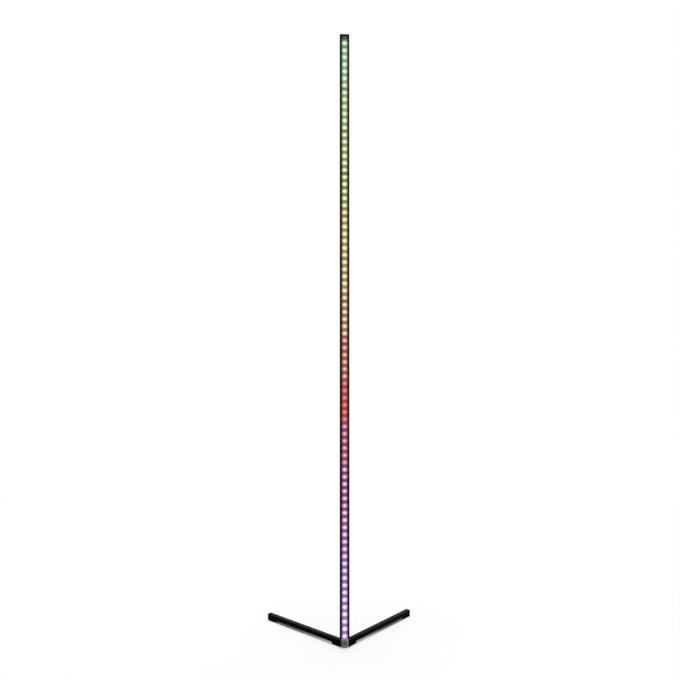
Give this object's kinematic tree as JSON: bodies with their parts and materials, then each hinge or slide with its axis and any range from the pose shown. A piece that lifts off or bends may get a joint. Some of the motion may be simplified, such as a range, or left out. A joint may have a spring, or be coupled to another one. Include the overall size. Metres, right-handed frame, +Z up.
{
  "type": "corner floor lamp",
  "caption": "Slim black corner floor lamp: an upright pole with a strip of coloured lights in its front channel, on a base of two legs set in a V.",
  "frame": {"origin": "on the floor, under the axis of the bars that join the pole's sections", "axes": "+Z up along the pole; the lights face -Y, towards the corner of the room; the legs run back to either side, towards +Y; the lamp is symmetric about X = 0"},
  "size_m": [0.3662, 0.1861, 1.4326],
  "materials": {
    "black_aluminium": "satin",
    "mill_aluminium": "satin",
    "black_steel": "satin",
    "screw_steel": "satin",
    "black_plastic": "matte",
    "black_rubber": "matte",
    "milky_silicone": "satin",
    "clear_silicone": "satin",
    "white_board": "satin",
    "chip_epoxy": "matte",
    "resistor_ceramic": "satin",
    "foam_tape": "matte",
    "led_01": "gloss",
    "led_02": "gloss",
    "led_03": "gloss",
    "led_04": "gloss",
    "led_05": "gloss",
    "led_06": "gloss",
    "led_07": "gloss",
    "led_08": "gloss",
    "led_09": "gloss",
    "led_10": "gloss",
    "led_11": "gloss",
    "led_12": "gloss",
    "led_13": "gloss",
    "led_14": "gloss"
  },
  "bodies": {
    "root": {"pole_section_1": "black_aluminium", "pole_section_2": "black_aluminium", "pole_section_3": "black_aluminium", "pole_section_4": "black_aluminium", "splice_bar_1": "mill_aluminium", "splice_bar_2": "mill_aluminium", "splice_bar_3": "mill_aluminium", "pole_screws": "screw_steel", "top_end_cap": "black_plastic", "led_group_01": "led_01", "led_group_02": "led_02", "led_group_03": "led_03", "led_group_04": "led_04", "led_group_05": "led_05", "led_group_06": "led_06", "led_group_07": "led_07", "led_group_08": "led_08", "led_group_09": "led_09", "led_group_10": "led_10", "led_group_11": "led_11", "led_group_12": "led_12", "led_group_13": "led_13", "led_group_14": "led_14", "led_board": "white_board", "driver_chips": "chip_epoxy", "series_resistors": "resistor_ceramic", "silicone_sleeve": "milky_silicone", "sleeve_tape": "foam_tape", "sleeve_top_plug": "clear_silicone", "sleeve_boot": "clear_silicone", "base_corner": "black_plastic", "corner_pad": "black_rubber", "lead_grommet": "black_rubber", "leg_screws": "screw_steel", "left_leg": "black_steel", "left_nut_plate": "screw_steel", "left_foot_cap": "black_plastic", "left_foot_pad": "black_rubber", "right_leg": "black_steel", "right_nut_plate": "screw_steel", "right_foot_cap": "black_plastic", "right_foot_pad": "black_rubber"}
  },
  "joints": []
}
